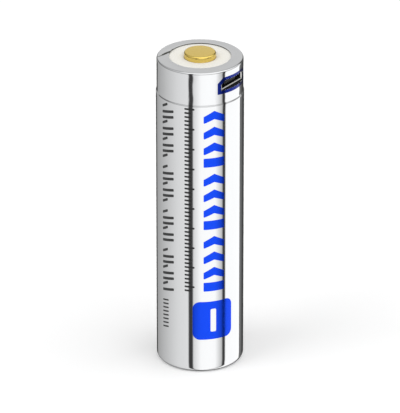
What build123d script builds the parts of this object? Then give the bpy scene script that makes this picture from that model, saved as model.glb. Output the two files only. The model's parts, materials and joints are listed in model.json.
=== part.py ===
"""A rechargeable cylindrical lithium cell with a charging port of its own.

A wound cell in a deep-drawn steel can stands on its negative end. Its crimped head carries a
moulded housing with a charging board, whose port opens towards +X. A terminal board above it
carries the positive button. One shrink wrap holds the can, the housing and the insulating washer
together. The origin is the middle of the base, and +Z runs to the positive button.
"""

from build123d import *
import math
import os

# ---- Driving dimensions, in millimetres ----
overall_height = 71.0
body_height = 69.9             # base to the top of the wrap's fold
barrel_radius = 9.30           # over the wrap, on the can
head_radius = 9.145            # over the wrap, on the charging head
wrap_film = 0.11
gap = 0.01                     # clearance between pieces that lie against each other

# Wrap
base_lip_radius = 7.50         # inner edge of the film folded under the base
fold_radius = 6.56             # inner edge of the film folded over the washer
base_corner = 1.00
rim_corner = 0.45
step_low = 62.25               # the film steps in from the barrel to the head
step_high = 62.55

# Negative end
plate_radius = 7.20
plate_thickness = 0.19
strip_film = 0.09              # nickel strip
strip_arc = 31.0               # degrees of the barrel that the strip covers
strip_foot_radius = 3.0        # inner end of the strip's foot under the can
strip_tab_radius = 7.0         # inner end of its tab under the charging board
strip_corner = 0.84
strip_bend = 0.30
strip_jog = 61.9               # where the strip steps in towards the head
sleeve_film = 0.04

# Can
can_wall = 0.25
can_radius = 9.00
can_base = plate_thickness + strip_film + 2 * gap
can_top = 65.0
can_corner = 1.00
bead_height = 60.95
bead_root_radius = 7.75        # corner of the bead's mid-line before it is rounded
bead_spread = 0.60             # half the height of the bead's mouth
bead_shoulder = 0.35
bead_root = 0.30
crimp_corner = 0.30
crimp_radius = 8.70
crimp_lip_radius = 7.20

# Wound roll
roll_base = 1.40
roll_top = 59.0
electrode = 0.15
separator = 0.03
winding_pitch = 2 * (electrode + separator) + 4 * gap
winding_shift = winding_pitch / 4   # each half turn's centre, to either side of the axis
half_turns = 33
first_winding_radius = 1.70
core_radius = 1.50
core_wall = 0.20
tape_film = 0.05
tab_width = 4.0
tab_film = 0.10
tab_end = -1.5                 # tabs end just past the axis
anode_tab_distance = 5.5
cathode_tab_distance = 4.2
fibre = 0.30                   # thickness of the insulating discs on the roll's ends
fibre_hole_radius = 1.60
bottom_fibre_radius = 8.30
top_fibre_radius = 8.60

# Crimped head, stacked downwards from the top cap's flange
seal_wall = 0.43
cap_sheet = 0.40
ptc_thickness = 0.35
vent_sheet = 0.25
vent_insulator_thickness = 0.50
interrupt_thickness = 0.41
flange_radius = 8.0            # outer edge of everything held in the gasket
gasket_foot_radius = 6.90
sheet_corner = 0.30
dish_top_radius = 5.5          # the cap's and the vent's flanges end here
vent_floor_radius = 4.6
cap_plateau_radius = 4.8
cap_plateau_top = 65.20
cap_vent_radius = 0.45
cap_vent_circle = 5.15
score_radius = 2.4
score_width = 0.2
score_depth = 0.1
ptc_hole_radius = 5.9
vent_insulator_hole_radius = 6.0
interrupt_hole_radius = 0.7
interrupt_hole_circle = 4.0
crimp_paper_radius = 8.75
crimp_paper_hole_radius = 5.60

# Charging head
port_height = 66.60            # middle of the charging port
housing_radius = head_radius - wrap_film - gap
housing_base = 62.65
housing_top = 69.39
board_radius = 8.30
board_thickness = 0.80
terminal_board_thickness = 0.59
pin_circle = 7.30
pin_radius = 0.30
window_width = 8.10            # opening in the wrap
window_height = 2.50
window_slant = 1.00
socket_width = 7.50            # outside of the port's steel shell
socket_height = 2.45
socket_slant = 0.95
socket_wall = 0.30
socket_back = 3.10             # from the axis
socket_mouth = 8.10

# Positive end
button_radius = 3.38
button_flange_radius = 4.40
button_sheet = 0.20
button_edge = 0.35
washer_radius = housing_radius - gap
washer_hole_radius = 3.42

# ---- Heights that follow from them ----
washer_base = housing_top + gap
washer_top = body_height - wrap_film
seal_top = can_top - can_wall - 1.5 * gap
cap_flange_top = seal_top - seal_wall - gap / 2
cap_flange_base = cap_flange_top - cap_sheet
ptc_base = cap_flange_base - gap - ptc_thickness
vent_flange_base = ptc_base - gap - vent_sheet
vent_insulator_base = vent_flange_base - gap - vent_insulator_thickness
interrupt_base = vent_insulator_base - gap - interrupt_thickness
seal_base = interrupt_base - gap - seal_wall
ledge = can_top + 0.26         # the housing's ledge over the crimp
board_base = port_height - board_thickness / 2
board_top = board_base + board_thickness
terminal_board_base = housing_top - terminal_board_thickness
roll_height = roll_top - roll_base


def radial_plane(angle):
    """The plane through the axis at a polar angle, with X outwards and Y upwards."""
    turn = math.radians(angle)
    outward = (math.cos(turn), math.sin(turn), 0)
    return Plane(origin=(0, 0, 0), x_dir=outward, z_dir=(math.sin(turn), -math.cos(turn), 0))


def port_plane(distance):
    """A plane across the port, this far from the axis, with X along +Y and Y upwards."""
    return Plane(origin=(distance, 0, port_height), x_dir=(0, 1, 0), z_dir=(1, 0, 0))


def port_outline(width, height, slant):
    """Corners of a port outline: square towards the can, slanted towards the button."""
    side = width / 2
    top = height / 2
    return [(-side, -top), (side, -top), (side, top - slant), (side - slant, top),
            (slant - side, top), (-side, top - slant)]


def sheet_section(mid_line, radii, thickness, plane=Plane.XZ):
    """The section of a bent or turned sheet, from its mid-line and the radii of its corners."""
    with BuildSketch(plane) as section:
        with BuildLine():
            FilletPolyline(*mid_line, radius=radii)
        trace(line_width=thickness)
    return section.sketch


def bent_strip(mid_line, radii, thickness, width, plane=Plane.XZ):
    """A flat strip of one width, bent along its mid-line across the middle of the cell."""
    section = sheet_section(mid_line, radii, thickness, plane)
    return extrude(section, amount=width / 2, both=True)


def winding_face(offset):
    """Half circles that follow one face of a wound sheet, from the core out to the last turn."""
    for turn in range(half_turns):
        centre = (-winding_shift, 0) if turn % 2 == 0 else (winding_shift, 0)
        radius = first_winding_radius + turn * winding_pitch / 2 + offset
        start = 0 if turn % 2 == 0 else 180
        CenterArc(centre, radius, start, 180)


def winding_ends(offset, thickness):
    """The straight edges that close a wound sheet at the core and at its last turn."""
    inner = first_winding_radius - winding_shift + offset
    outer = first_winding_radius + (half_turns - 1) * winding_pitch / 2 + winding_shift + offset
    last = -outer if half_turns % 2 else outer
    Line((inner, 0), (inner + thickness, 0))
    Line((last, 0), (last + math.copysign(thickness, last), 0))


# ---- Wrap and negative end ----
with BuildPart() as wrap_sleeve:
    barrel = barrel_radius - wrap_film / 2
    head = head_radius - wrap_film / 2
    wrap_line = [(base_lip_radius, wrap_film / 2), (barrel, wrap_film / 2), (barrel, step_low),
                 (head, step_high), (head, body_height - wrap_film / 2),
                 (fold_radius, body_height - wrap_film / 2)]
    wrap_radii = [base_corner - wrap_film / 2, 0, 0, rim_corner - wrap_film / 2]
    revolve(sheet_section(wrap_line, wrap_radii, wrap_film), axis=Axis.Z)
    with BuildSketch(port_plane(0)):
        Polygon(*port_outline(window_width, window_height, window_slant), align=None)
    extrude(amount=barrel_radius + gap, mode=Mode.SUBTRACT)

with BuildPart() as negative_contact_plate:
    Cylinder(plate_radius, plate_thickness, align=(Align.CENTER, Align.CENTER, Align.MIN))

# The strip runs from under the can up its side and through the housing wall to the board
channel_floor = housing_radius - 0.14
strip_side = can_radius + sleeve_film + 1.5 * gap + strip_film / 2
strip_head = channel_floor + gap + strip_film / 2
strip_foot = plate_thickness + gap + strip_film / 2
strip_tab = board_base - gap - strip_film / 2
with BuildPart() as negative_strip:
    strip_line = [(strip_foot_radius, strip_foot), (strip_side, strip_foot),
                  (strip_side, strip_jog), (strip_head, step_high), (strip_head, strip_tab),
                  (strip_tab_radius, strip_tab)]
    strip_bends = [strip_corner, 0, 0, strip_bend]
    strip_plane = radial_plane(180 - strip_arc / 2)
    strip_section = sheet_section(strip_line, strip_bends, strip_film, strip_plane)
    revolve(strip_section, axis=Axis.Z, revolution_arc=strip_arc)

# ---- Can and its sleeve ----
with BuildPart() as cell_can:
    wall = can_radius - can_wall / 2
    neck = crimp_radius - can_wall / 2
    lip = can_top - can_wall / 2
    can_line = [(0, can_base + can_wall / 2), (wall, can_base + can_wall / 2),
                (wall, bead_height - bead_spread), (bead_root_radius, bead_height),
                (neck, bead_height + bead_spread), (neck, lip), (crimp_lip_radius, lip)]
    can_radii = [can_corner - can_wall / 2, bead_shoulder, bead_root, bead_shoulder,
                 crimp_corner]
    revolve(sheet_section(can_line, can_radii, can_wall), axis=Axis.Z)

sleeve_base = can_base + can_corner
sleeve_top = bead_height - 2 * bead_spread
with BuildPart() as inner_sleeve:
    with BuildSketch(Plane.XY.offset(sleeve_base)):
        Circle(can_radius + gap / 2 + sleeve_film)
        Circle(can_radius + gap / 2, mode=Mode.SUBTRACT)
    extrude(amount=sleeve_top - sleeve_base)

# ---- Wound roll ----
wound_sheets = {
    "cathode_sheet": (0, electrode),
    "inner_separator": (electrode + gap, separator),
    "anode_sheet": (electrode + separator + 2 * gap, electrode),
    "outer_separator": (2 * electrode + separator + 3 * gap, separator),
}
wound_parts = {}
for sheet_name, (sheet_offset, sheet_thickness) in wound_sheets.items():
    with BuildPart() as wound_sheet:
        with BuildSketch(Plane.XY.offset(roll_base)):
            with BuildLine():
                winding_face(sheet_offset)
                winding_face(sheet_offset + sheet_thickness)
                winding_ends(sheet_offset, sheet_thickness)
            make_face()
        extrude(amount=roll_height)
    wound_parts[sheet_name] = wound_sheet

with BuildPart() as core_tube:
    with BuildSketch(Plane.XY.offset(roll_base)):
        Circle(core_radius)
        Circle(core_radius - core_wall, mode=Mode.SUBTRACT)
    extrude(amount=roll_height)

winding_growth = (half_turns + 1) * winding_pitch / 2 + winding_shift
tape_inner_radius = first_winding_radius + winding_growth + 2 * gap
with BuildPart() as roll_tape:
    with BuildSketch(Plane.XY.offset(roll_base)):
        Circle(tape_inner_radius + tape_film)
        Circle(tape_inner_radius, mode=Mode.SUBTRACT)
    extrude(amount=roll_height)

# Fibre discs keep the roll's ends off the can and the head, with a slot for each tab
slot_width = 0.60
slot_length = tab_width + slot_width
fill_hole_radius = 0.8
fill_hole_circle = 5.6
with BuildPart() as bottom_insulator:
    with BuildSketch(Plane.XY.offset(roll_base - 1.5 * fibre)):
        Circle(bottom_fibre_radius)
        Circle(fibre_hole_radius, mode=Mode.SUBTRACT)
        with Locations((anode_tab_distance, 0)):
            Rectangle(slot_width, slot_length, mode=Mode.SUBTRACT)
    extrude(amount=fibre)

with BuildPart() as top_insulator:
    with BuildSketch(Plane.XY.offset(roll_top + fibre)):
        Circle(top_fibre_radius)
        Circle(fibre_hole_radius, mode=Mode.SUBTRACT)
        with Locations((-cathode_tab_distance, 0)):
            Rectangle(slot_width, slot_length, mode=Mode.SUBTRACT)
        with PolarLocations(fill_hole_circle, 5, start_angle=-100, angular_range=200, endpoint=True):
            Circle(fill_hole_radius, mode=Mode.SUBTRACT)
    extrude(amount=fibre)

with BuildPart() as anode_tab:
    tab_floor = can_base + can_wall + gap + tab_film / 2
    anode_line = [(anode_tab_distance, roll_base - gap), (anode_tab_distance, tab_floor),
                  (tab_end, tab_floor)]
    add(bent_strip(anode_line, [2 * tab_film], tab_film, tab_width))

with BuildPart() as cathode_tab:
    tab_roof = interrupt_base - gap - tab_film / 2
    fold = (roll_top + tab_roof) / 2
    cathode_line = [(-cathode_tab_distance, roll_top + gap), (-cathode_tab_distance, fold),
                    (cathode_tab_distance, fold), (cathode_tab_distance, tab_roof),
                    (tab_end, tab_roof)]
    add(bent_strip(cathode_line, [4 * tab_film, 6 * tab_film, 6 * tab_film], tab_film, tab_width))

# ---- Crimped head of the cell ----
with BuildPart() as crimp_gasket:
    seal_wall_line = crimp_radius - can_wall - gap - seal_wall / 2
    seal_line = [(gasket_foot_radius, seal_base + seal_wall / 2),
                 (seal_wall_line, seal_base + seal_wall / 2),
                 (seal_wall_line, seal_top - seal_wall / 2),
                 (crimp_lip_radius, seal_top - seal_wall / 2)]
    seal_corner = seal_wall / 2 + gap
    revolve(sheet_section(seal_line, [seal_corner, seal_corner], seal_wall), axis=Axis.Z)

with BuildPart() as interrupt_disc:
    with BuildSketch(Plane.XY.offset(interrupt_base)):
        Circle(flange_radius)
        with PolarLocations(interrupt_hole_circle, 6):
            Circle(interrupt_hole_radius, mode=Mode.SUBTRACT)
    extrude(amount=interrupt_thickness)

with BuildPart() as vent_insulator:
    with BuildSketch(Plane.XY.offset(vent_insulator_base)):
        Circle(flange_radius)
        Circle(vent_insulator_hole_radius, mode=Mode.SUBTRACT)
    extrude(amount=vent_insulator_thickness)

with BuildPart() as vent_disc:
    vent_flange = vent_flange_base + vent_sheet / 2
    vent_floor = vent_insulator_base + vent_sheet / 2
    vent_line = [(flange_radius, vent_flange), (dish_top_radius, vent_flange),
                 (vent_floor_radius, vent_floor), (0, vent_floor)]
    revolve(sheet_section(vent_line, [sheet_corner, sheet_corner], vent_sheet), axis=Axis.Z)
    with BuildSketch(Plane.XY.offset(vent_floor + vent_sheet / 2 - score_depth)):
        Circle(score_radius + score_width / 2)
        Circle(score_radius - score_width / 2, mode=Mode.SUBTRACT)
    extrude(amount=2 * score_depth, mode=Mode.SUBTRACT)

with BuildPart() as ptc_ring:
    with BuildSketch(Plane.XY.offset(ptc_base)):
        Circle(flange_radius)
        Circle(ptc_hole_radius, mode=Mode.SUBTRACT)
    extrude(amount=ptc_thickness)

with BuildPart() as top_cap:
    cap_flange = cap_flange_base + cap_sheet / 2
    cap_roof = cap_plateau_top - cap_sheet / 2
    cap_line = [(flange_radius, cap_flange), (dish_top_radius, cap_flange),
                (cap_plateau_radius, cap_roof), (0, cap_roof)]
    revolve(sheet_section(cap_line, [sheet_corner, sheet_corner], cap_sheet), axis=Axis.Z)
    with BuildSketch(Plane.XY.offset(cap_flange_base)):
        with PolarLocations(cap_vent_circle, 4, start_angle=45):
            Circle(cap_vent_radius)
    extrude(amount=can_top, mode=Mode.SUBTRACT)

with BuildPart() as crimp_insulator:
    with BuildSketch(Plane.XY.offset(can_top + gap)):
        Circle(crimp_paper_radius)
        Circle(crimp_paper_hole_radius, mode=Mode.SUBTRACT)
    extrude(amount=ledge - can_top - 2 * gap)

with BuildPart() as positive_strip:
    lower_run = cap_plateau_top + gap + tab_film / 2
    upper_run = board_base - gap - tab_film / 2
    lead_start, riser, lead_end = -2.0, 3.6, 5.6
    lead_width = 3.0
    lead_line = [(lead_start, lower_run), (riser, lower_run), (riser, upper_run),
                 (lead_end, upper_run)]
    add(bent_strip(lead_line, [0.25, 0.25], tab_film, lead_width, Plane.YZ))

# ---- Charging head ----
skirt_radius = crimp_radius + 0.08
board_bore_radius = board_radius + 0.05
rib_radius = 8.05              # the rib that keeps the two boards apart
slot_base = 65.70              # the strip's slot through the housing wall
channel_arc = strip_arc + 2.0
with BuildPart() as module_housing:
    with BuildSketch(Plane.XZ):
        housing_outline = [
            (housing_radius, housing_base), (housing_radius, housing_top),
            (board_bore_radius, housing_top), (board_bore_radius, terminal_board_base - gap),
            (rib_radius, terminal_board_base - gap), (rib_radius, board_top + gap),
            (board_bore_radius, board_top + gap), (board_bore_radius, ledge),
            (skirt_radius, ledge), (skirt_radius, housing_base)]
        Polygon(*housing_outline, align=None)
    revolve(axis=Axis.Z)
    with BuildSketch(port_plane(0)):
        Rectangle(window_width + 10 * gap, window_height + 20 * gap)
    extrude(amount=housing_radius + gap, mode=Mode.SUBTRACT)
    with BuildSketch(radial_plane(180 - channel_arc / 2)):
        channel_top = board_base + 5 * gap
        channel_outline = [
            (channel_floor, housing_base - gap), (barrel_radius, housing_base - gap),
            (barrel_radius, channel_top), (rib_radius, channel_top), (rib_radius, slot_base),
            (channel_floor, slot_base)]
        Polygon(*channel_outline, align=None)
    revolve(axis=Axis.Z, revolution_arc=channel_arc, mode=Mode.SUBTRACT)

pin_places = [Vector(pin_circle, 0).rotate(Axis.Z, angle) for angle in (60, 120, 240, 300)]
notch_width = socket_width + 0.2
notch_back = socket_back - 0.1
with BuildPart() as charge_board:
    with BuildSketch(Plane.XY.offset(board_base)):
        Circle(board_radius)
        with Locations((notch_back, 0)):
            Rectangle(board_radius, notch_width, align=(Align.MIN, Align.CENTER),
                      mode=Mode.SUBTRACT)
        with Locations(*pin_places):
            Circle(pin_radius + gap, mode=Mode.SUBTRACT)
    extrude(amount=board_thickness)

with BuildPart() as terminal_board:
    with BuildSketch(Plane.XY.offset(terminal_board_base)):
        Circle(board_radius)
        with Locations(*pin_places):
            Circle(pin_radius + gap, mode=Mode.SUBTRACT)
    extrude(amount=terminal_board_thickness)

pin_stub = 0.4                 # solder ends under the charging board
pin_base = board_base - pin_stub
with BuildPart() as board_pins:
    with BuildSketch(Plane.XY.offset(pin_base)):
        with Locations(*pin_places):
            Circle(pin_radius)
    extrude(amount=housing_top - pin_base)

# The port: a folded steel shell with solder ears, a moulded tongue and five contacts
ear_place = 5.1
ear_length = 1.6
ear_span = 9.8
ear_sheet = 0.2
pocket = port_outline(socket_width - 2 * socket_wall, socket_height - 2 * socket_wall,
                      socket_slant - 0.15)
with BuildPart() as port_shell:
    with BuildSketch(port_plane(socket_back)):
        Polygon(*port_outline(socket_width, socket_height, socket_slant), align=None)
    extrude(amount=socket_mouth - socket_back)
    with BuildSketch(Plane.XY.offset(board_top + gap)):
        with Locations((ear_place, 0)):
            Rectangle(ear_length, ear_span)
    extrude(amount=ear_sheet)
    with BuildSketch(port_plane(socket_back + socket_wall)):
        Polygon(*pocket, align=None)
    extrude(amount=socket_mouth - socket_back, mode=Mode.SUBTRACT)
    mouth_edges = faces().sort_by(Axis.X)[-1].inner_wires()[0].edges()
    chamfer(mouth_edges, socket_wall / 2)

tongue_back = socket_back + socket_wall + gap
tongue_root = 4.3
tongue_tip = 7.6
tongue_width = 3.9
tongue_thickness = 0.55        # its upper face is at the middle of the port
with BuildPart() as port_tongue:
    with BuildSketch(port_plane(tongue_back)):
        Polygon(*pocket, align=None)
        offset(amount=-gap)
    extrude(amount=tongue_root - tongue_back)
    with BuildSketch(port_plane(tongue_back)):
        with Locations((0, -tongue_thickness / 2)):
            Rectangle(tongue_width, tongue_thickness)
    extrude(amount=tongue_tip - tongue_back)

contact_count = 5
contact_pitch = 0.65
contact_width = 0.32
contact_sheet = 0.06
contact_setback = 0.3
with BuildPart() as port_contacts:
    with BuildSketch(port_plane(tongue_root + gap)):
        with Locations((0, gap + contact_sheet / 2)):
            with GridLocations(contact_pitch, 0, contact_count, 1):
                Rectangle(contact_width, contact_sheet)
    extrude(amount=tongue_tip - tongue_root - contact_setback)

# ---- Components on the charging board ----
on_board = Plane.XY.offset(board_top + gap)
under_board = Plane.XY.offset(board_base - gap)
controller_place = (-4.3, 3.4)
controller_side = 3.0
controller_height = 0.85
with BuildPart() as charge_controller:
    with BuildSketch(on_board):
        with Locations(controller_place):
            Rectangle(controller_side, controller_side)
    extrude(amount=controller_height)
    chamfer(faces().sort_by(Axis.Z)[-1].edges(), 0.08)

inductor_place = (-3.6, -3.6)
inductor_side = 3.2
inductor_height = 1.4
with BuildPart() as power_inductor:
    with BuildSketch(on_board):
        with Locations(inductor_place):
            RectangleRounded(inductor_side, inductor_side, 0.5)
    extrude(amount=inductor_height)
    chamfer(faces().sort_by(Axis.Z)[-1].edges(), 0.12)

# Chips under the board have a moulded body and a row of flat leads across it
body_thickness = 0.75
lead_thickness = 0.15
protection_place = (-1.0, -4.6)
with BuildPart() as protection_controller:
    with BuildSketch(under_board):
        with Locations(protection_place):
            Rectangle(2.9, 1.6)
    extrude(amount=-body_thickness)
    with BuildSketch(under_board):
        with Locations(protection_place):
            with GridLocations(0.95, 0, 3, 1):
                Rectangle(0.4, 2.8)
    extrude(amount=-lead_thickness)

transistor_place = (-4.2, 0)
with BuildPart() as dual_transistor:
    with BuildSketch(under_board):
        with Locations(transistor_place):
            Rectangle(3.0, 3.4)
    extrude(amount=-body_thickness)
    with BuildSketch(under_board):
        with Locations(transistor_place):
            with GridLocations(0.65, 0, 4, 1):
                Rectangle(0.3, 4.6)
    extrude(amount=-lead_thickness)

chip_length = 1.6
chip_width = 0.8
chip_cap = 0.3                 # plated end of a chip component
capacitor_height = 0.8
capacitor_swell = 0.03         # the ceramic stands this proud of the plated ends
capacitor_places = [(0.4, 3.2), (0.4, 5.0), (0.9, -2.4), (0.9, -4.2), (0.9, -6.0)]
with BuildPart() as chip_capacitors:
    with BuildSketch(on_board):
        with Locations(*capacitor_places):
            Rectangle(chip_length, chip_width)
    extrude(amount=capacitor_height)
    with BuildSketch(on_board):
        with Locations(*capacitor_places):
            Rectangle(chip_length - 2 * chip_cap, chip_width + 2 * capacitor_swell)
    extrude(amount=capacitor_height + capacitor_swell)

resistor_height = 0.45
with BuildPart() as chip_resistors:
    with BuildSketch(on_board):
        with Locations((0.2, 0)):
            with GridLocations(1.5 * chip_length, 1.75 * chip_width, 2, 2):
                Rectangle(chip_length, chip_width)
    extrude(amount=resistor_height)

led_place = (2.6, 6.2)
led_base = 0.3
led_height = 0.6
with BuildPart() as status_led:
    with BuildSketch(on_board):
        with Locations(led_place):
            Rectangle(chip_length, chip_width)
    extrude(amount=led_base)
    with BuildSketch(on_board):
        with Locations(led_place):
            Rectangle(chip_length - 2 * chip_cap, chip_width)
    extrude(amount=led_height)

# ---- Positive end ----
with BuildPart() as terminal_washer:
    with BuildSketch(Plane.XY.offset(washer_base)):
        Circle(washer_radius)
        Circle(washer_hole_radius, mode=Mode.SUBTRACT)
    extrude(amount=washer_top - washer_base)
    with BuildSketch(Plane.XY.offset(washer_base)):
        Circle(button_flange_radius + 10 * gap)
    extrude(amount=button_sheet + gap, mode=Mode.SUBTRACT)
    rim = edges().filter_by(GeomType.CIRCLE).group_by(Axis.Z)[-1].sort_by(SortBy.RADIUS)[-1]
    fillet(rim, rim_corner - wrap_film + 2 * gap)

with BuildPart() as positive_button:
    flange = washer_base + button_sheet / 2
    side = button_radius - button_sheet / 2
    roof = overall_height - button_sheet / 2
    button_line = [(button_flange_radius, flange), (side, flange), (side, roof), (0, roof)]
    button_radii = [0.75 * button_sheet, button_edge - button_sheet / 2]
    revolve(sheet_section(button_line, button_radii, button_sheet), axis=Axis.Z)

# ---- Write every piece as its own file ----
pieces = {
    "wrap_sleeve": wrap_sleeve,
    "negative_contact_plate": negative_contact_plate,
    "negative_strip": negative_strip,
    "cell_can": cell_can,
    "inner_sleeve": inner_sleeve,
    "core_tube": core_tube,
    "roll_tape": roll_tape,
    "bottom_insulator": bottom_insulator,
    "top_insulator": top_insulator,
    "anode_tab": anode_tab,
    "cathode_tab": cathode_tab,
    "crimp_gasket": crimp_gasket,
    "interrupt_disc": interrupt_disc,
    "vent_insulator": vent_insulator,
    "vent_disc": vent_disc,
    "ptc_ring": ptc_ring,
    "top_cap": top_cap,
    "crimp_insulator": crimp_insulator,
    "positive_strip": positive_strip,
    "module_housing": module_housing,
    "charge_board": charge_board,
    "terminal_board": terminal_board,
    "board_pins": board_pins,
    "port_shell": port_shell,
    "port_tongue": port_tongue,
    "port_contacts": port_contacts,
    "charge_controller": charge_controller,
    "power_inductor": power_inductor,
    "protection_controller": protection_controller,
    "dual_transistor": dual_transistor,
    "chip_capacitors": chip_capacitors,
    "chip_resistors": chip_resistors,
    "status_led": status_led,
    "terminal_washer": terminal_washer,
    "positive_button": positive_button,
} | wound_parts

os.makedirs("parts", exist_ok=True)
for name, piece in pieces.items():
    piece.part.label = name
    export_step(piece.part, f"parts/{name}.step")
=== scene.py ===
"""Dresses the CAD frame of a rechargeable cylindrical cell with its film, its print and its finishes.

The cell stands on its negative end, +Z runs to the positive button, and the charging port faces +X.
Lengths are in metres. Angles round the cell are measured from the port, anticlockwise from above.
"""

import json
import math

import bmesh
import bpy
from bpy.props import FloatProperty, FloatVectorProperty, IntProperty, PointerProperty
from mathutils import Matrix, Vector, noise


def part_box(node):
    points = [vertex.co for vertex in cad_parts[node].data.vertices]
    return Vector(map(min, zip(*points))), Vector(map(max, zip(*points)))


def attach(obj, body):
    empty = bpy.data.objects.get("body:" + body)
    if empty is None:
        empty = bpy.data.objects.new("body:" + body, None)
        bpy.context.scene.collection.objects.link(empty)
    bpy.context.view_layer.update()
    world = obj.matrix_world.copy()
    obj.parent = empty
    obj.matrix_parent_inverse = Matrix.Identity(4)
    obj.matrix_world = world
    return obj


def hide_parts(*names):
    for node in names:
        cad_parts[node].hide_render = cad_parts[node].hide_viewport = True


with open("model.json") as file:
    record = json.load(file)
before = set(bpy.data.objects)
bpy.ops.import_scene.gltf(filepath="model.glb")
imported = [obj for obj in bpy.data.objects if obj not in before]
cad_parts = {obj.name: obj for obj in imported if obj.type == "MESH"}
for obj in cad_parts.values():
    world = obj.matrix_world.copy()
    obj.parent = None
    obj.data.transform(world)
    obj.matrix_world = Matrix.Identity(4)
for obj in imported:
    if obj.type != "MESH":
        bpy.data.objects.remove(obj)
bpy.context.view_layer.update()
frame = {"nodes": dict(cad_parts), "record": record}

bl_info = {
    "name": "Rechargeable Cell",
    "version": (1, 0, 0),
    "blender": (4, 5, 0),
    "location": "View3D > Sidebar > Cell",
    "description": "Adds the shrink film, print, terminals and finishes to a rechargeable cell",
    "category": "Object",
}

MM = 0.001
BODY = "root"

# Sizes that the frame gives
WRAP_LOW, WRAP_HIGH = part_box("wrap_sleeve")
HOUSING_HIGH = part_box("module_housing")[1]
BUTTON_LOW, BUTTON_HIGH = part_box("positive_button")
WASHER_LOW, WASHER_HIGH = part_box("terminal_washer")
PLATE_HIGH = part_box("negative_contact_plate")[1]
PORT_LOW, PORT_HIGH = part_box("port_shell")
PORT_MIDDLE = (PORT_LOW.z + PORT_HIGH.z) / 2
BARREL_RADIUS = WRAP_HIGH.y
FILM = WRAP_HIGH.z - WASHER_HIGH.z
HEAD_RADIUS = HOUSING_HIGH.y + FILM + 0.01 * MM


def linear(hex_colour):
    """A colour given as sRGB hex, as the linear values that Blender's sockets take."""
    channels = [int(hex_colour[place:place + 2], 16) / 255 for place in (1, 3, 5)]
    curve = [c / 12.92 if c <= 0.04045 else ((c + 0.055) / 1.055) ** 2.4 for c in channels]
    return (*curve, 1.0)


def length(name, description, default):
    """A length property, given in millimetres."""
    return FloatProperty(name=name, description=description, default=default * MM, min=0.0,
                         subtype="DISTANCE", unit="LENGTH", precision=5)


def angle(name, description, default):
    """An angle property, given in degrees."""
    return FloatProperty(name=name, description=description, default=math.radians(default),
                         subtype="ANGLE", unit="ROTATION")


def colour(name, description, default):
    """A colour property, given as sRGB hex."""
    return FloatVectorProperty(name=name, description=description, default=linear(default),
                               size=4, subtype="COLOR", min=0.0, max=1.0)


# ---- What a user would change ----

class FilmSizes(bpy.types.PropertyGroup):
    """Sizes and colour of the shrink film."""

    lip_radius: length("Base lip", "Inner edge of the film under the base", 7.5)
    fold_radius: length("Fold", "Inner edge of the film over the washer", 6.56)
    base_corner: length("Base corner", "Radius of the film round the base", 1.0)
    rim_corner: length("Rim corner", "Radius of the film round the top rim", 0.45)
    step_low: length("Step, low side", "Where the film starts to narrow to the head", 62.25)
    step_high: length("Step, high side", "Where the film has narrowed to the head", 62.55)
    head_ripple: length("Head ripple", "Height of the soft waves in the head's film", 0.018)
    barrel_ripple: length("Barrel ripple", "Height of the waves in the barrel's film", 0.0012)
    tuck_lift: length("Tuck", "Height of the overlap in the folded ring", 0.16)
    tuck_angle: angle("Tuck angle", "Where the overlap meets the rim", 217.5)
    tuck_lean: angle("Tuck lean", "How far the overlap leans on its way inwards", -21)
    window_width: length("Window width", "Opening for the charging port", 7.85)
    window_height: length("Window height", "Opening for the charging port", 2.3)
    window_slant: length("Window slant", "Cut corners of the opening", 1.0)
    tint: colour("Film", "Colour of the metallised film", "#D3D4D5")
    # The film's back is painted shade: its dark colour draws the shadowed lines along the film's cut
    # edges.
    back: colour("Film's back", "Adhesive behind the film and at its cut edges", "#3E3E3A")


class PrintLayout(bpy.types.PropertyGroup):
    """Sizes, places and colours of the printed marks."""

    ink: length("Ink", "How far the ink stands out of the film", 0.012)
    facing: angle("Facing", "The side that the print is read from", -54.5)
    row_start: length("Row start", "From the fold down to the first mark", 8.0)
    row_length: length("Row length", "Length of the row of bold marks", 43.6)
    bold_low: length("Bold, low side", "Near edge of the bold marks", 0.75)
    bold_high: length("Bold, high side", "Far edge of the bold marks", 5.4)
    border_width: length("Port border width", "Printed border round the port", 9.35)
    border_height: length("Port border height", "Printed border round the port", 3.7)
    border_slant: length("Port border slant", "Cut corners of the border", 1.2)
    blue: colour("Blue ink", "Bold marks and polarity mark", "#0B42DC")
    navy: colour("Navy ink", "Port border", "#061F7A")
    black: colour("Black ink", "Scale and slanted bars", "#0B0C0E")


class TerminalSizes(bpy.types.PropertyGroup):
    """Sizes and colours of both terminals and the washer."""

    sheet: length("Button sheet", "Sheet that the button is drawn from", 0.2)
    button_radius: length("Button", "Outside of the button", 3.38)
    button_edge: length("Button edge", "Radius round the top of the button", 0.46)
    washer_hole: length("Washer hole", "Hole that the button stands in", 3.42)
    washer_corner: length("Washer corner", "Radius round the washer's rim", 0.36)
    plate_edge: length("Plate edge", "Rounding of the base plate", 0.06)
    gold: colour("Gold", "Plating of the button", "#E9CE73")
    card: colour("Washer", "White insulating card", "#DEDCD5")
    nickel: colour("Nickel", "Base plate and can", "#C9C6BF")


class StageSettings(bpy.types.PropertyGroup):
    """Camera, light and floor."""

    azimuth: angle("Azimuth", "Camera's turn round the cell", 35.5)
    elevation: angle("Elevation", "Camera's height above the horizon", 25.5)
    distance: length("Distance", "From the camera to the cell", 1100)
    field: length("Field", "Height of the view at the cell", 87.9)
    aim: length("Aim", "Height on the cell's axis that the camera looks at", 34.9)
    floor_size: length("Floor", "Radius of the floor", 6000)
    floor: colour("Floor", "Pale painted floor", "#F4F4F4")
    key: FloatProperty(name="Key light", description="Power of the large soft light",
                       default=3.9, min=0.0, subtype="POWER", unit="POWER")
    segments: IntProperty(name="Segments", description="Faces round a turned piece",
                          default=300, min=48)


# ---- Mesh work ----

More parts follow.
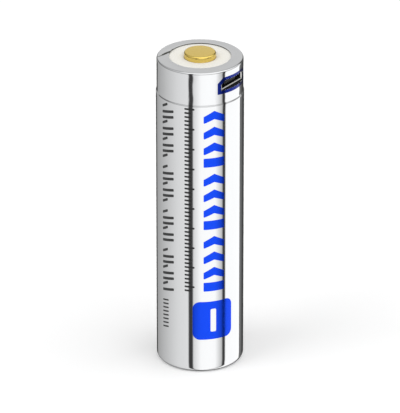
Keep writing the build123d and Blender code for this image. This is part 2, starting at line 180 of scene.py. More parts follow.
def rounded(corners, closed=True, steps=9):
    """The outline through corners of (x, y, fillet radius), with an arc at each rounded one."""
    points = []
    count = len(corners)
    for index, (x, y, radius) in enumerate(corners):
        here = Vector((x, y))
        if not closed and index in (0, count - 1) or radius == 0:
            points.append((x, y))
            continue
        back = (Vector(corners[index - 1][:2]) - here).normalized()
        ahead = (Vector(corners[(index + 1) % count][:2]) - here).normalized()
        half = back.angle(ahead) / 2
        centre = here + (back + ahead).normalized() * (radius / math.sin(half))
        start = here + back * (radius / math.tan(half)) - centre
        end = here + ahead * (radius / math.tan(half)) - centre
        sweep = start.angle_signed(end)
        for step in range(steps + 1):
            turn = -sweep * step / steps
            arm = (start.x * math.cos(turn) - start.y * math.sin(turn),
                   start.x * math.sin(turn) + start.y * math.cos(turn))
            points.append((centre.x + arm[0], centre.y + arm[1]))
    return points


def divided(points, spacing):
    """The same open path with no stretch longer than spacing(y) allows."""
    path = [points[0]]
    for start, end in zip(points, points[1:]):
        pieces = max(1, math.ceil(math.dist(start, end) / spacing((start[1] + end[1]) / 2)))
        for piece in range(1, pieces + 1):
            share = piece / pieces
            path.append((start[0] + (end[0] - start[0]) * share,
                         start[1] + (end[1] - start[1]) * share))
    return path


def turned(rings, angles, place):
    """Vertices and faces of a closed turned solid: place(ring, angle) gives each vertex."""
    vertices, loops = [], []
    for ring in rings:
        corners = [place(ring, turn) for turn in angles]
        on_axis = math.hypot(corners[0][0], corners[0][1]) < 1e-9
        first = len(vertices)
        vertices += corners[:1] if on_axis else corners
        loops.append([first if on_axis else first + index for index in range(len(angles))])
    faces = []
    for low, high in zip(loops, loops[1:] + loops[:1]):
        for index in range(len(angles)):
            after = (index + 1) % len(angles)
            quad = dict.fromkeys((low[index], low[after], high[after], high[index]))
            if len(quad) > 2:
                faces.append(list(quad))
    return vertices, faces


def lathe(outline):
    """Vertices and faces of a plain turned solid from its outline of (radius, height)."""
    segments = bpy.context.scene.cell_stage.segments
    angles = [math.tau * index / segments for index in range(segments)]

    def place(ring, turn):
        return ring[0] * math.cos(turn), ring[0] * math.sin(turn), ring[1]

    return turned(outline, angles, place)


def finish_piece(piece, slot, *materials, crease=35):
    """Closes off a new piece: outward normals, smooth faces, its materials and body."""
    bm = bmesh.new()
    bm.from_mesh(piece.data)
    bmesh.ops.recalc_face_normals(bm, faces=bm.faces)
    bm.to_mesh(piece.data)
    bm.free()
    piece.data.shade_smooth()
    piece.data.set_sharp_from_angle(angle=math.radians(crease))
    if not piece.data.materials:
        for material in materials:
            piece.data.materials.append(material)
    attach(piece, BODY)
    return piece


def new_piece(name, vertices, faces):
    """A mesh object in the scene, made from vertices and faces."""
    mesh = bpy.data.meshes.new(name)
    mesh.from_pydata(vertices, [], faces)
    piece = bpy.data.objects.new(name, mesh)
    bpy.context.scene.collection.objects.link(piece)
    return piece


def smooth_step(low, high, value):
    """0 below low, 1 above high, and a soft rise between."""
    share = min(max((value - low) / (high - low), 0.0), 1.0)
    return share * share * (3 - 2 * share)


# ---- The film ----

def port_outline(width, height, slant):
    """Corners of the port's outline across the port: square below, cut away above."""
    side, top = width / 2, height / 2
    return [(-side, -top), (side, -top), (side, top - slant), (side - slant, top),
            (slant - side, top), (-side, top - slant)]


def film_rings(sizes):
    """Rings of the film as (outer radius, outer height, depth), down the outside and back inside."""
    top = WRAP_HIGH.z
    corners = [(sizes.lip_radius, 0, 0),
               (BARREL_RADIUS, 0, sizes.base_corner),
               (BARREL_RADIUS, sizes.step_low, 0.25 * MM),
               (HEAD_RADIUS, sizes.step_high, 0.25 * MM),
               (HEAD_RADIUS, top, sizes.rim_corner),
               (sizes.fold_radius, top, 0)]

    def spacing(height):
        return 1.3 * MM if height < sizes.step_low else 0.35 * MM

    path = divided(rounded(corners, closed=False), spacing)
    rings = []
    for index, (radius, height) in enumerate(path):
        before, after = path[max(index - 1, 0)], path[min(index + 1, len(path) - 1)]
        along = Vector((after[0] - before[0], after[1] - before[1])).normalized()
        rings.append((radius, height, Vector((along.y, -along.x))))
    outside = [(radius, height, outward, 0.0) for radius, height, outward in rings]
    inside = [(radius, height, outward, FILM) for radius, height, outward in reversed(rings)]
    return outside + inside


def ripple(sizes, turn, radius, height):
    """How far the shrunk film stands out: soft waves on the head, far fainter ones below."""
    head = smooth_step(sizes.step_high, sizes.step_high + 1.0 * MM, height)
    size = sizes.barrel_ripple + (sizes.head_ripple - sizes.barrel_ripple) * head
    wave = 3.0 * MM
    squash = 1.2
    finer, fainter = 2.3, 0.4
    spot = Vector((radius * math.cos(turn), radius * math.sin(turn), squash * height)) / wave
    return size * (noise.noise(spot) + fainter * noise.noise(finer * spot))


def film_angles(sizes, segments):
    """Angles of the film's columns, with two close ones at the overlap's edge."""
    edge = 0.12 * MM / HEAD_RADIUS
    angles = [sizes.tuck_angle + math.tau * index / segments for index in range(1, segments)]
    return [sizes.tuck_angle - edge, sizes.tuck_angle + edge] + angles


def film_place(sizes, ring, turn):
    """Where one vertex of the film goes: the turned shape, its ripple and the overlap."""
    radius, height, outward, depth = ring
    off_rim, dip, curl_height = 0.3 * MM, 0.04 * MM, 0.12 * MM
    lean_reach, under_reach, over_reach = math.radians(50), math.radians(28), math.radians(34)
    inward = smooth_step(0, HEAD_RADIUS - sizes.fold_radius, HEAD_RADIUS - off_rim - radius)
    on_fold = inward if height > sizes.step_high else 0.0
    off_edge = (turn - sizes.tuck_angle + math.pi) % math.tau - math.pi
    lean = sizes.tuck_lean * on_fold * (1 - smooth_step(0, lean_reach, abs(off_edge)))
    under = smooth_step(0, under_reach, off_edge) if off_edge > 0 else 1.0
    over = 1 - smooth_step(0, over_reach, -off_edge) if off_edge < 0 else 0.0
    near_rim = min(1.0, 3 * on_fold)
    lift = sizes.tuck_lift * over * near_rim - dip * (1 - under) * near_rim
    curl = curl_height * smooth_step(0.72, 1.0, on_fold)
    out = ripple(sizes, turn, radius, height) - depth
    radius, height = radius + outward.x * out, height + outward.y * out + lift + curl
    turn += lean
    return radius * math.cos(turn), radius * math.sin(turn), height


def cut_window(piece, sizes):
    """Cuts the port's window through the film on the port's side."""
    outline = port_outline(sizes.window_width, sizes.window_height, sizes.window_slant)
    near, far = BARREL_RADIUS / 2, BARREL_RADIUS * 1.5
    vertices = [(x, y, PORT_MIDDLE + z) for x in (near, far) for y, z in outline]
    count = len(outline)
    sides = [[i, (i + 1) % count, count + (i + 1) % count, count + i] for i in range(count)]
    ends = [list(range(count))[::-1], list(range(count, 2 * count))]
    cutter = new_piece("window_cutter", vertices, sides + ends)
    cut = piece.modifiers.new("window", "BOOLEAN")
    cut.operation, cut.solver, cut.object = "DIFFERENCE", "EXACT", cutter
    evaluated = piece.evaluated_get(bpy.context.evaluated_depsgraph_get())
    mesh = bpy.data.meshes.new_from_object(evaluated)
    piece.modifiers.clear()
    piece.data = mesh
    bpy.data.objects.remove(cutter)


# ---- The print ----

def wrapped_print(name, shapes, radius, ink, slot, material):
    """Thin closed print laid round the film.

    Each shape is a list of closed loops of (angle round the cell, height), holes among them.
    """
    bm = bmesh.new()
    for loops in shapes:
        edges = []
        for loop in loops:
            corners = [bm.verts.new((turn * radius, height, 0)) for turn, height in loop]
            edges += [bm.edges.new(pair) for pair in zip(corners, corners[1:] + corners[:1])]
        bmesh.ops.triangle_fill(bm, use_beauty=True, edges=edges)
    across = [vertex.co.x for vertex in bm.verts]
    strip = 0.3 * MM
    for cut in range(math.floor(min(across) / strip), math.ceil(max(across) / strip)):
        everything = bm.verts[:] + bm.edges[:] + bm.faces[:]
        bmesh.ops.bisect_plane(bm, geom=everything, dist=1e-8, plane_co=(cut * strip, 0, 0),
                               plane_no=(1, 0, 0))
    raised = bmesh.ops.extrude_face_region(bm, geom=bm.faces[:])["geom"]
    for vertex in bm.verts:
        vertex.co.z = radius - ink
    for vertex in (item for item in raised if isinstance(item, bmesh.types.BMVert)):
        vertex.co.z = radius + ink
    for vertex in bm.verts:
        turn, height, out = vertex.co.x / radius, vertex.co.y, vertex.co.z
        vertex.co = (out * math.cos(turn), out * math.sin(turn), height)
    piece = new_piece(name, [], [])
    bm.to_mesh(piece.data)
    bm.free()
    return finish_piece(piece, slot, material)


def on_cell(layout, loop):
    """Turns a loop of (across, down from the fold) into angles round the cell and heights."""
    return [(layout.facing + across / BARREL_RADIUS, WRAP_HIGH.z - down)
            for across, down in loop]


def arrow_mark(start, size, low, high, stroke):
    """A bold arrowhead without a shaft, pointing to the positive end."""
    middle = (low + high) / 2
    tip, notch = start + stroke * 0.4, start + stroke * 1.6
    corners = [(low, start + size), (middle, tip), (high, start + size),
               (high, start + size + stroke), (middle, notch), (low, start + size + stroke)]
    return rounded([(x, y, 0.18 * MM) for x, y in corners], steps=4)


def slanted_bar(start, width, low, high, slant):
    """A rounded bar across the row, leaning along it."""
    corners = [(low, start), (low, start + width), (high, start + width + slant),
               (high, start + slant)]
    return rounded([(x, y, 0.16 * MM) for x, y in corners], steps=4)


def bold_marks(layout):
    """The row of bold blue marks: arrowheads in groups, with a bar between the groups."""
    low, high = layout.bold_low, layout.bold_high
    count, group = 12, 4
    pitch = layout.row_length / count
    stroke, bar_lead = 1.6 * MM, 0.6 * MM
    marks = []
    for place in range(count):
        start = layout.row_start + place * pitch
        if place % group == group - 1:
            marks.append([slanted_bar(start + bar_lead, 1.3 * stroke, low, high, 0)])
        else:
            marks.append([arrow_mark(start, pitch * 0.52, low, high, stroke)])
    return [[on_cell(layout, loop) for loop in mark] for mark in marks]


def scale_marks(layout):
    """A fine graduated scale, with every fifth stroke longer."""
    near, stroke, pitch = -3.35 * MM, 0.42 * MM, 0.92 * MM
    marks = []
    for place in range(int(layout.row_length / pitch)):
        start = layout.row_start + place * pitch
        reach = 2.2 * MM if place % 5 == 0 else 1.5 * MM
        marks.append([on_cell(layout, slanted_bar(start, stroke, near, near + reach, 0))])
    return marks


def slanted_marks(layout):
    """Groups of slanted black bars beside the scale, and a row of smaller ones at their end."""
    near, far = -9.35 * MM, -5.95 * MM
    width, pitch, slant = 0.62 * MM, 1.3 * MM, -0.95 * MM
    marks = []
    start = layout.row_start + 0.8 * MM
    for group in (10, 7, 6, 8):
        for place in range(group):
            reach = far if place % 3 else (near + far) / 2
            marks.append([on_cell(layout, slanted_bar(start, width, near, reach, slant))])
            start += pitch
        start += pitch
    for place in range(8):
        small_start = start + place * 0.9 * MM
        small = slanted_bar(small_start, 0.36 * MM, near, near + 1.9 * MM, slant / 2)
        marks.append([on_cell(layout, small)])
    return marks


def polarity_mark(layout):
    """A rounded square with a minus sign left open in it, near the negative end."""
    across, down, half = 2.9 * MM, 57.6 * MM, 4.5 * MM
    square = [(across - half, down - half), (across + half, down - half),
              (across + half, down + half), (across - half, down + half)]
    bar_half, bar_thick = 2.7 * MM, 0.62 * MM
    bar = [(across - bar_thick, down - bar_half), (across + bar_thick, down - bar_half),
           (across + bar_thick, down + bar_half), (across - bar_thick, down + bar_half)]
    loops = [rounded([(x, y, 1.6 * MM) for x, y in square], steps=8),
             rounded([(x, y, 0.3 * MM) for x, y in bar], steps=4)]
    return [[on_cell(layout, loop) for loop in loops]]


def port_border(layout, sizes):
    """The printed border round the port's window."""
    outer = port_outline(layout.border_width, layout.border_height, layout.border_slant)
    margin = 0.04 * MM
    inner = port_outline(sizes.window_width + margin, sizes.window_height + margin,
                         sizes.window_slant)
    lowered = 0.05 * MM
    loops = [[(math.asin(y / HEAD_RADIUS), PORT_MIDDLE - lowered + z) for y, z in outer],
             [(math.asin(y / HEAD_RADIUS), PORT_MIDDLE + z) for y, z in inner]]
    return [loops]


# ---- Materials ----

def add(tree, kind, inputs=None, stops=(), **settings):
    """Adds a node with its settings, the stops of its ramp, and its inputs.

    An input is a value or the socket that feeds it.
    """
    node = tree.nodes.new(kind)
    for name, value in settings.items():
        setattr(node, name, value)
    for index, (place, shade) in enumerate(stops):
        elements = node.color_ramp.elements
        stop = elements[index] if index < len(elements) else elements.new(place)
        stop.position, stop.color = place, shade
    for name, value in (inputs or {}).items():
        if isinstance(value, bpy.types.NodeSocket):
            tree.links.new(value, node.inputs[name])
        else:
            node.inputs[name].default_value = value
    return node


def grained(name, light, dark, grain, roughness, depth=0.0, stretch=(1, 1, 1), **sockets):
    """A material whose colour, roughness and relief follow one noise of a real grain size."""
    material = bpy.data.materials.new(name)
    material.use_nodes = True
    tree = material.node_tree
    tree.nodes.clear()
    place = add(tree, "ShaderNodeTexCoord")
    spread = add(tree, "ShaderNodeMapping", {"Vector": place.outputs["Object"],
                                             "Scale": stretch})
    grains = add(tree, "ShaderNodeTexNoise", {"Vector": spread.outputs["Vector"],
                                              "Scale": 1 / grain, "Detail": 3.0})
    tone = add(tree, "ShaderNodeMix", {0: grains.outputs["Fac"], 6: dark, 7: light},
               data_type="RGBA")
    rough = add(tree, "ShaderNodeMapRange", {"Value": grains.outputs["Fac"],
                                             "From Min": 0.3, "From Max": 0.7,
                                             "To Min": roughness[0], "To Max": roughness[1]})
    values = {"Base Color": tone.outputs[2], "Roughness": rough.outputs["Result"], **sockets}
    if depth:
        relief = add(tree, "ShaderNodeBump", {"Height": grains.outputs["Fac"],
                                              "Distance": depth, "Strength": 1.0})
        values["Normal"] = relief.outputs["Normal"]
    shader = add(tree, "ShaderNodeBsdfPrincipled", values)
    add(tree, "ShaderNodeOutputMaterial", {"Surface": shader.outputs["BSDF"]})
    return material


def metallised_film(tint):
    """Vapour-metallised shrink film: a bright mirror, a little blurred by the stretched film.

    The film's thickness changes over about 1.2 mm round the cell, and more slowly along it.
    """
    deeper = [channel * 0.96 for channel in tint[:3]] + [1.0]
    return grained("metallised_shrink_film", tint, deeper, 1.2 * MM, (0.04, 0.07),
                   stretch=(1, 1, 0.15), Metallic=1.0)


def painted_edge_shade(tint):
    """Painted shade: a dark colour behind the film and on its cut edges, which draws the thin
    shadowed line along each cut edge.

    Its specks are about 0.1 mm wide, and are drawn as 0.4 mm so that they show.
    """
    paler = [channel * 1.3 for channel in tint[:3]] + [1.0]
    return grained("film_painted_edge_shade", paler, tint, 0.4 * MM, (0.5, 0.7))


def blue_ink(name, tint):
    """Translucent blue ink screened over the metal, so the mirror still shows through it.

    The screen's mesh is about 0.1 mm, and its clouding is drawn as 0.6 mm so that it shows.
    """
    deeper = [channel * 0.85 for channel in tint[:3]] + [1.0]
    return grained(name, tint, deeper, 0.6 * MM, (0.12, 0.2), Metallic=0.88)


def black_ink(tint):
    """Opaque screened black ink: even and deep, with a soft gloss.

    The screen's mesh is about 0.1 mm, and its clouding is drawn as 0.5 mm so that it shows.
    """
    paler = [channel + 0.006 for channel in tint[:3]] + [1.0]
    return grained("screened_black_ink", paler, tint, 0.5 * MM, (0.28, 0.4))


def gold_flash(tint):
    """Gold flash over drawn brass: a warm mirror, blurred by faint drawing marks.

    The real marks are about 0.03 mm wide, and are drawn as 0.35 mm so that they show.
    """
    deeper = [tint[0] * 0.93, tint[1] * 0.88, tint[2] * 0.72, 1.0]
    return grained("gold_flashed_brass", tint, deeper, 0.35 * MM, (0.16, 0.28),
                   depth=0.0005 * MM, Metallic=1.0)


def insulating_card(tint):
    """Die-cut white pressboard: matt and warm, with a fine felted grain.

    Its real fibres are about 0.03 mm thick, and are drawn as tufts of 0.16 mm.
    """
    deeper = [channel * 0.95 for channel in tint[:3]] + [1.0]
    return grained("die_cut_pressboard", tint, deeper, 0.16 * MM, (0.6, 0.75),
                   depth=0.006 * MM)


def nickel_plate(tint):
    """Nickel-plated rolled steel: a warm grey shine, streaked along the rolling.

    The real rolling lines are about 0.02 mm apart, and are drawn 0.12 mm apart.
    """
    deeper = [channel * 0.9 for channel in tint[:3]] + [1.0]
    return grained("nickel_plated_steel", tint, deeper, 0.12 * MM, (0.2, 0.36),
                   depth=0.0004 * MM, stretch=(1, 0.12, 1), Metallic=1.0)


def simple_finish(slot):
    """The finish of a record slot whose pieces are only seen inside or in a cutaway.

    Each grain under 0.5 mm is drawn several times coarser than the real one, so that it shows.
    """
    metal = {"Metallic": 1.0}
    finishes = {
        # slot: (name, light, dark, grain in millimetres, roughness, other sockets)
        # Bright grey, satin where the fold has stretched it
        "port_steel": ("stamped_stainless", "#B9B9B7", "#A8A8A6", 0.2, (0.25, 0.35), metal),
        # Warm grey shine with soft rolling streaks
        "nickel_strip": ("rolled_nickel", "#CBC8C1", "#B9B6AE", 0.15, (0.25, 0.4), metal),
        # Glossy, even blue that lets no metal through
        "sleeve_film": ("dyed_shrink_film", "#2A62A8", "#24589A", 1.0, (0.2, 0.3), {}),
        # Pale, cool and dull-bright
        "aluminium_sheet": ("pressed_aluminium", "#DADBDC", "#C6C8CA", 0.2, (0.3, 0.45), metal),
        # Flat charcoal, dusty and matt
        "cathode_coating": ("calendered_cathode", "#2B2B2E", "#232326", 0.1, (0.6, 0.8), {}),
        # Near black, with the faint sheen of pressed graphite
        "anode_coating": ("calendered_graphite", "#1F1F20", "#171718", 0.1, (0.5, 0.7), {}),
        # Chalky white, because its pores scatter the light
        "separator_film": ("microporous_film", "#F3F3F1", "#E6E6E3", 0.3, (0.5, 0.65), {}),
        # Glossy green, a little uneven where the adhesive wets it
        "roll_tape": ("adhesive_tape", "#1E6B45", "#1A5D3C", 0.8, (0.25, 0.4), {}),
        # Dull parchment with mottled fibres
        "vulcanised_fibre": ("vulcanised_fibre", "#D9D2BF", "#C8C0AB", 0.2, (0.7, 0.85), {}),
        # The same board dyed through: dull black
        "black_fibre": ("dyed_fibre_board", "#1B1B1C", "#121213", 0.2, (0.65, 0.8), {}),
        # Milky white with a waxy softness
        "seal_plastic": ("moulded_polypropylene", "#E3E3E0", "#D8D8D4", 0.5, (0.4, 0.5), {}),
        # Soot black, because of the carbon in it
        "ptc_polymer": ("carbon_filled_polymer", "#242424", "#1B1B1B", 0.2, (0.5, 0.6), {}),
        # Black with the fine spark-eroded grain of its mould
        "housing_plastic": ("moulded_abs_black", "#1A1B1D", "#131415", 0.12, (0.42, 0.55), {}),
        # Deep green under a glassy lacquer
        "board_laminate": ("solder_masked_laminate", "#0E5A33", "#0A4A29", 0.4, (0.25, 0.4), {}),
        # Dark grey with a sandy matt skin
        "chip_epoxy": ("moulded_epoxy", "#202122", "#18191A", 0.06, (0.5, 0.65), {}),
        # Mid grey like slate, and as dull
        "ferrite": ("pressed_ferrite", "#4A4A4D", "#3C3C3F", 0.08, (0.6, 0.75), {}),
        # Biscuit brown with a slight shine
        "capacitor_ceramic": ("fired_ceramic", "#B08D62", "#9B7A52", 0.1, (0.4, 0.5), {}),
        # Black glaze over a printed layer
        "resistor_ceramic": ("glazed_thick_film", "#1B1B1F", "#141417", 0.1, (0.2, 0.3), {}),
        # Clear and slightly yellow, with a bright skin
        "led_lens": ("cast_clear_epoxy", "#F2EFD8", "#E8E4C8", 0.3, (0.1, 0.2),
                     {"Transmission Weight": 0.4}),
        # Black and slightly streaked by its flow in the mould
        "port_plastic": ("moulded_liquid_crystal_polymer", "#161617", "#0F0F10", 0.1,
                         (0.4, 0.5), {}),
        # Bright yellow metal on every contact
        "gold_pins": ("gold_flashed_copper", "#E4B95A", "#D2A445", 0.1, (0.2, 0.3), metal),
    }
    name, light, dark, grain, roughness, sockets = finishes[slot]
    return grained(name, linear(light), linear(dark), grain * MM, roughness,
                   depth=0.004 * grain * MM, **sockets)


def painted_floor(tint):
    """Matt painted board: pale, even and without shine."""
    deeper = [channel * 0.985 for channel in tint[:3]] + [1.0]
    return grained("matt_painted_board", tint, deeper, 40 * MM, (0.85, 0.95))


# ---- Operators ----

class CELL_OT_film(bpy.types.Operator):
    """Make the shrink film with its folded ring, overlap, step and port window"""

    bl_idname = "cell.film"
    bl_label = "Shrink Film"

    def execute(self, context):
        sizes = context.scene.cell_film
        angles = film_angles(sizes, context.scene.cell_stage.segments)

        def place(ring, turn):
            return film_place(sizes, ring, turn)

        rings = film_rings(sizes)
        vertices, faces = turned(rings, angles, place)
        film = new_piece("shrink_film", vertices, faces)
        film.data.materials.append(metallised_film(sizes.tint))
        film.data.materials.append(painted_edge_shade(sizes.back))
        # The film's inside and the overlap's cut edge take the painted shade of the film's back,
        # which draws the shadowed lines along the fold's inner edge and the overlap.
        for face in film.data.polygons:
            ring, column = divmod(face.index, len(angles))
            in_fold = face.center.z > HOUSING_HIGH.z
            if ring >= len(rings) // 2 - 1 or column == 0 and in_fold:
                face.material_index = 1
        cut_window(film, sizes)
        finish_piece(film, "silver_film")
        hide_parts("wrap_sleeve")
        return {"FINISHED"}


class CELL_OT_print(bpy.types.Operator):
    """Print the bold marks, the scale, the slanted bars, the polarity mark and the port border"""

    bl_idname = "cell.print"
    bl_label = "Print"

    def execute(self, context):
        layout, sizes = context.scene.cell_print, context.scene.cell_film
        blue, black = blue_ink("screened_blue_ink", layout.blue), black_ink(layout.black)
        navy = blue_ink("screened_navy_ink", layout.navy)
        for name, shapes, radius, ink in (
                ("printed_bold_marks", bold_marks(layout), BARREL_RADIUS, blue),
                ("printed_scale", scale_marks(layout), BARREL_RADIUS, black),
                ("printed_slanted_bars", slanted_marks(layout), BARREL_RADIUS, black),
                ("printed_polarity_mark", polarity_mark(layout), BARREL_RADIUS, blue),
                ("printed_port_border", port_border(layout, sizes), HEAD_RADIUS, navy)):
            wrapped_print(name, shapes, radius, layout.ink, "silver_film", ink)
        return {"FINISHED"}


class CELL_OT_positive_end(bpy.types.Operator):
    """Make the drawn gold button and the white washer round it"""

    bl_idname = "cell.positive_end"
    bl_label = "Positive End"

    def execute(self, context):
        sizes = context.scene.cell_terminals
        sheet, radius, top = sizes.sheet, sizes.button_radius, BUTTON_HIGH.z
        base, flange = BUTTON_LOW.z, BUTTON_HIGH.x
        bend = 0.05 * MM
        button = rounded([(0, top, 0), (radius, top, sizes.button_edge),
                          (radius, base + sheet, bend), (flange, base + sheet, bend),
                          (flange, base, bend), (radius - sheet, base, sheet + bend),
                          (radius - sheet, top - sheet, sizes.button_edge - sheet),
                          (0, top - sheet, 0)])
        piece = new_piece("gold_button", *lathe(button))
        finish_piece(piece, "gold_plate", gold_flash(sizes.gold))
        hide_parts("positive_button")

        low, high, rim = WASHER_LOW.z, WASHER_HIGH.z, WASHER_HIGH.x
        recess = base + sheet + 0.01 * MM
        seat = flange + 0.1 * MM
        washer = rounded([(sizes.washer_hole, recess, 0), (sizes.washer_hole, high, 0.04 * MM),
                          (rim, high, sizes.washer_corner), (rim, low, 0), (seat, low, 0),
                          (seat, recess, 0)])
        piece = new_piece("white_washer", *lathe(washer))
        finish_piece(piece, "white_washer", insulating_card(sizes.card))
        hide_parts("terminal_washer")
        return {"FINISHED"}


class CELL_OT_negative_end(bpy.types.Operator):
    """Make the nickel plate under the base"""

    bl_idname = "cell.negative_end"
    bl_label = "Negative End"

    def execute(self, context):
        sizes = context.scene.cell_terminals
        radius, high, edge = PLATE_HIGH.x, PLATE_HIGH.z, sizes.plate_edge
        dish = 0.03 * MM
        outline = rounded([(0, dish, 0), (radius * 0.42, dish, 0), (radius * 0.45, 0, 0.3 * MM),
                           (radius, 0, edge), (radius, high, edge), (0, high, 0)])
        piece = new_piece("base_plate", *lathe(outline))
        finish_piece(piece, "nickel_steel", nickel_plate(sizes.nickel))
        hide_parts("negative_contact_plate")
        return {"FINISHED"}


class CELL_OT_finishes(bpy.types.Operator):
    """Give every carried-over CAD piece the finish of its material slot"""

    bl_idname = "cell.finishes"
    bl_label = "Finishes"

    def execute(self, context):
        terminals = context.scene.cell_terminals
        # The last three are the slots of pieces made above, which have their own materials
        made = {"nickel_steel": nickel_plate(terminals.nickel),
                "silver_film": None, "gold_plate": None, "white_washer": None}
        for subpart in frame["record"]["subparts"]:
            slot = subpart["material_slot"]
            if slot not in made:
                made[slot] = simple_finish(slot)
            node = frame["nodes"][subpart["node"]]
            if made[slot]:
                node.data.materials.clear()
                node.data.materials.append(made[slot])
        return {"FINISHED"}


class CELL_OT_stage(bpy.types.Operator):
    """Set up the camera, the pale floor and the soft studio light"""

    bl_idname = "cell.stage"
    bl_label = "Stage"

    def execute(self, context):
        stage = context.scene.cell_stage
        context.scene.view_settings.view_transform = "Standard"
        make_camera(stage)
        make_floor(stage)
        make_lights(stage)
        make_surroundings(stage)
        return {"FINISHED"}


def direction(turn, rise):
    """The unit vector at a turn round the cell, from its front to its right, and a rise."""
    return Vector((math.sin(turn) * math.cos(rise), -math.cos(turn) * math.cos(rise),
                   math.sin(rise)))


def make_camera(stage):
    """The camera, a long lens far away, so that upright edges stay nearly parallel."""
    data = bpy.data.cameras.new("camera")
    data.lens = data.sensor_width / 2 / (stage.field / 2 / stage.distance)
    data.clip_start, data.clip_end = 0.05, 20
    camera = bpy.data.objects.new("camera", data)
    bpy.context.scene.collection.objects.link(camera)
    back = direction(stage.azimuth, stage.elevation)
    camera.location = Vector((0, 0, stage.aim)) + back * stage.distance
    camera.rotation_mode = "QUATERNION"
    camera.rotation_quaternion = (-back).to_track_quat("-Z", "Y")
    bpy.context.scene.camera = camera


def make_floor(stage):
    """A round pale floor at the foot of the cell, which the film's mirror doesn't show."""
    segments, drop = 96, 0.02 * MM
    turns = [math.tau * index / segments for index in range(segments)]
    rim = [(stage.floor_size * math.cos(turn), stage.floor_size * math.sin(turn), -drop)
           for turn in turns]
    floor = new_piece("floor", rim, [list(range(segments))])
    floor.data.materials.append(painted_floor(stage.floor))
    floor.visible_glossy = False


def make_lights(stage):
    """A large soft key from the left and a weaker fill from the right, for matt surfaces only."""
    away = 0.8
    for name, power, size, turn, height in (("key", stage.key, 0.7, -120, 0.9),
                                            ("fill", stage.key / 2, 0.9, 10, 1.1)):
        data = bpy.data.lights.new(name, "AREA")
        data.energy, data.size = power, size
        light = bpy.data.objects.new(name, data)
        bpy.context.scene.collection.objects.link(light)
        spot = math.radians(turn)
        light.location = (math.cos(spot) * away, math.sin(spot) * away, height)
        light.rotation_mode = "QUATERNION"
        light.rotation_quaternion = light.location.to_track_quat("Z", "Y")
        light.visible_glossy = False


# The cards that stand round the cell: where each starts and ends, in degrees to the right of the
# camera, and its greys from side to side. It is dark between them and behind the cell. They are
# set for the main camera, and from elsewhere their bands lie differently on the film.
CARDS = ((-152, -32, (147, 173, 195, 214, 222)),
         (-17, 60, (212, 251, 254, 252, 190)),
         (72, 128, (254, 254)),
         (132, 150, (120, 66)))
BETWEEN_CARDS, CARD_EDGE = 60, 3.0

# How much of a card's grey is left at each height, from straight below, 0, to straight above, 1
DIMMING = ((0.49, 255), (0.51, 150), (0.61, 155), (0.68, 220), (0.85, 240), (0.95, 255))

# Makes up for what the film takes, so that a card's grey is the grey that shows on the film
STUDIO_STRENGTH = 1.53
BACKDROP = 246


def grey(level):
    """The linear colour of an sRGB grey from 0 to 255."""
    return linear("#" + f"{level:02X}" * 3)


def card_ring(tree, axes, azimuth):
    """The colour of the cards round the cell, dimmed along the horizon."""
    stops = []
    for first, last, greys in CARDS:
        stops.append((first - CARD_EDGE, BETWEEN_CARDS))
        spacing = (last - first) / (len(greys) - 1)
        stops += [(first + spacing * place, level) for place, level in enumerate(greys)]
        stops.append((last + CARD_EDGE, BETWEEN_CARDS))
    turn = add(tree, "ShaderNodeMath", {0: axes.outputs["Y"], 1: axes.outputs["X"]},
               operation="ARCTAN2")
    behind = azimuth + math.pi / 2
    past = add(tree, "ShaderNodeMath", {0: turn.outputs[0], 1: behind}, operation="SUBTRACT")
    share = add(tree, "ShaderNodeMath", {0: past.outputs[0], 1: math.tau}, operation="DIVIDE")
    once = add(tree, "ShaderNodeMath", {0: share.outputs[0]}, operation="FRACT")
    cards = add(tree, "ShaderNodeValToRGB", {"Fac": once.outputs[0]},
                [((degrees + 180) / 360, grey(level)) for degrees, level in stops])
    rise = add(tree, "ShaderNodeMapRange", {"Value": axes.outputs["Z"], "From Min": -1.0})
    dimming = add(tree, "ShaderNodeValToRGB", {"Fac": rise.outputs["Result"]},
                  [(height, grey(level)) for height, level in DIMMING])
    ring = add(tree, "ShaderNodeMix", {0: 1.0, 6: cards.outputs["Color"],
                                       7: dimming.outputs["Color"]},
               data_type="RGBA", blend_type="MULTIPLY")
    return ring.outputs[2]


def reflector(tree, where, around, way, rim, full, level):
    """Lays a round reflector over what is around it, from its soft rim to its full grey.

    The rim and the full grey are given as cosines of the angle from the reflector's middle.
    """
    towards = add(tree, "ShaderNodeVectorMath", {0: where.outputs["Generated"], 1: way},
                  operation="DOT_PRODUCT")
    on_it = add(tree, "ShaderNodeMapRange", {"Value": towards.outputs["Value"],
                                             "From Min": rim, "From Max": full},
                interpolation_type="SMOOTHSTEP")
    both = add(tree, "ShaderNodeMix", {0: on_it.outputs["Result"], 6: around, 7: grey(level)},
               data_type="RGBA")
    return both.outputs[2]


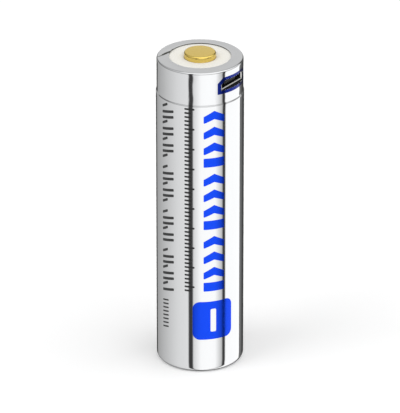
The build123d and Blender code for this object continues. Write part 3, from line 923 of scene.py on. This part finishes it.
def make_surroundings(stage):
    """The studio as the mirror shows it: cards all round, and two reflectors above them."""
    world = bpy.data.worlds.new("studio")
    bpy.context.scene.world = world
    world.use_nodes = True
    tree = world.node_tree
    tree.nodes.clear()
    where = add(tree, "ShaderNodeTexCoord")
    axes = add(tree, "ShaderNodeSeparateXYZ", {"Vector": where.outputs["Generated"]})
    around = card_ring(tree, axes, stage.azimuth)

    # The flat faces on top mirror the grey one behind the cell
    grey_one = direction(stage.azimuth + math.pi, stage.elevation)
    around = reflector(tree, where, around, grey_one, 0.8, 0.93, 191)
    # Each rounded edge takes its highlight from the bright one overhead, to the camera's right
    bright_one = direction(stage.azimuth + math.radians(45), math.radians(72))
    around = reflector(tree, where, around, bright_one, 0.72, 0.86, 252)

    studio = add(tree, "ShaderNodeBackground", {"Color": around, "Strength": STUDIO_STRENGTH})
    plain = add(tree, "ShaderNodeBackground", {"Color": grey(BACKDROP), "Strength": 1.0})
    rays = add(tree, "ShaderNodeLightPath")
    seen = add(tree, "ShaderNodeMixShader", {0: rays.outputs["Is Camera Ray"],
                                             1: studio.outputs[0], 2: plain.outputs[0]})
    add(tree, "ShaderNodeOutputWorld", {"Surface": seen.outputs[0]})


class CELL_PT_panel(bpy.types.Panel):
    """The cell's pieces, in the order in which they are made."""

    bl_label = "Rechargeable Cell"
    bl_idname = "CELL_PT_panel"
    bl_space_type = "VIEW_3D"
    bl_region_type = "UI"
    bl_category = "Cell"

    def draw(self, context):
        for operator in OPERATORS:
            self.layout.operator(operator.bl_idname)


OPERATORS = (CELL_OT_stage, CELL_OT_film, CELL_OT_print, CELL_OT_positive_end,
             CELL_OT_negative_end, CELL_OT_finishes)
GROUPS = {"cell_film": FilmSizes, "cell_print": PrintLayout, "cell_terminals": TerminalSizes,
          "cell_stage": StageSettings}
CLASSES = (*GROUPS.values(), *OPERATORS, CELL_PT_panel)


def register():
    for entry in CLASSES:
        bpy.utils.register_class(entry)
    for name, group in GROUPS.items():
        setattr(bpy.types.Scene, name, PointerProperty(type=group))


def unregister():
    for name in GROUPS:
        delattr(bpy.types.Scene, name)
    for entry in reversed(CLASSES):
        bpy.utils.unregister_class(entry)


def main():
    """Makes every piece in order."""
    register()
    for operator in OPERATORS:
        group, action = operator.bl_idname.split(".")
        getattr(getattr(bpy.ops, group), action)()


if __name__ == "__main__":
    main()
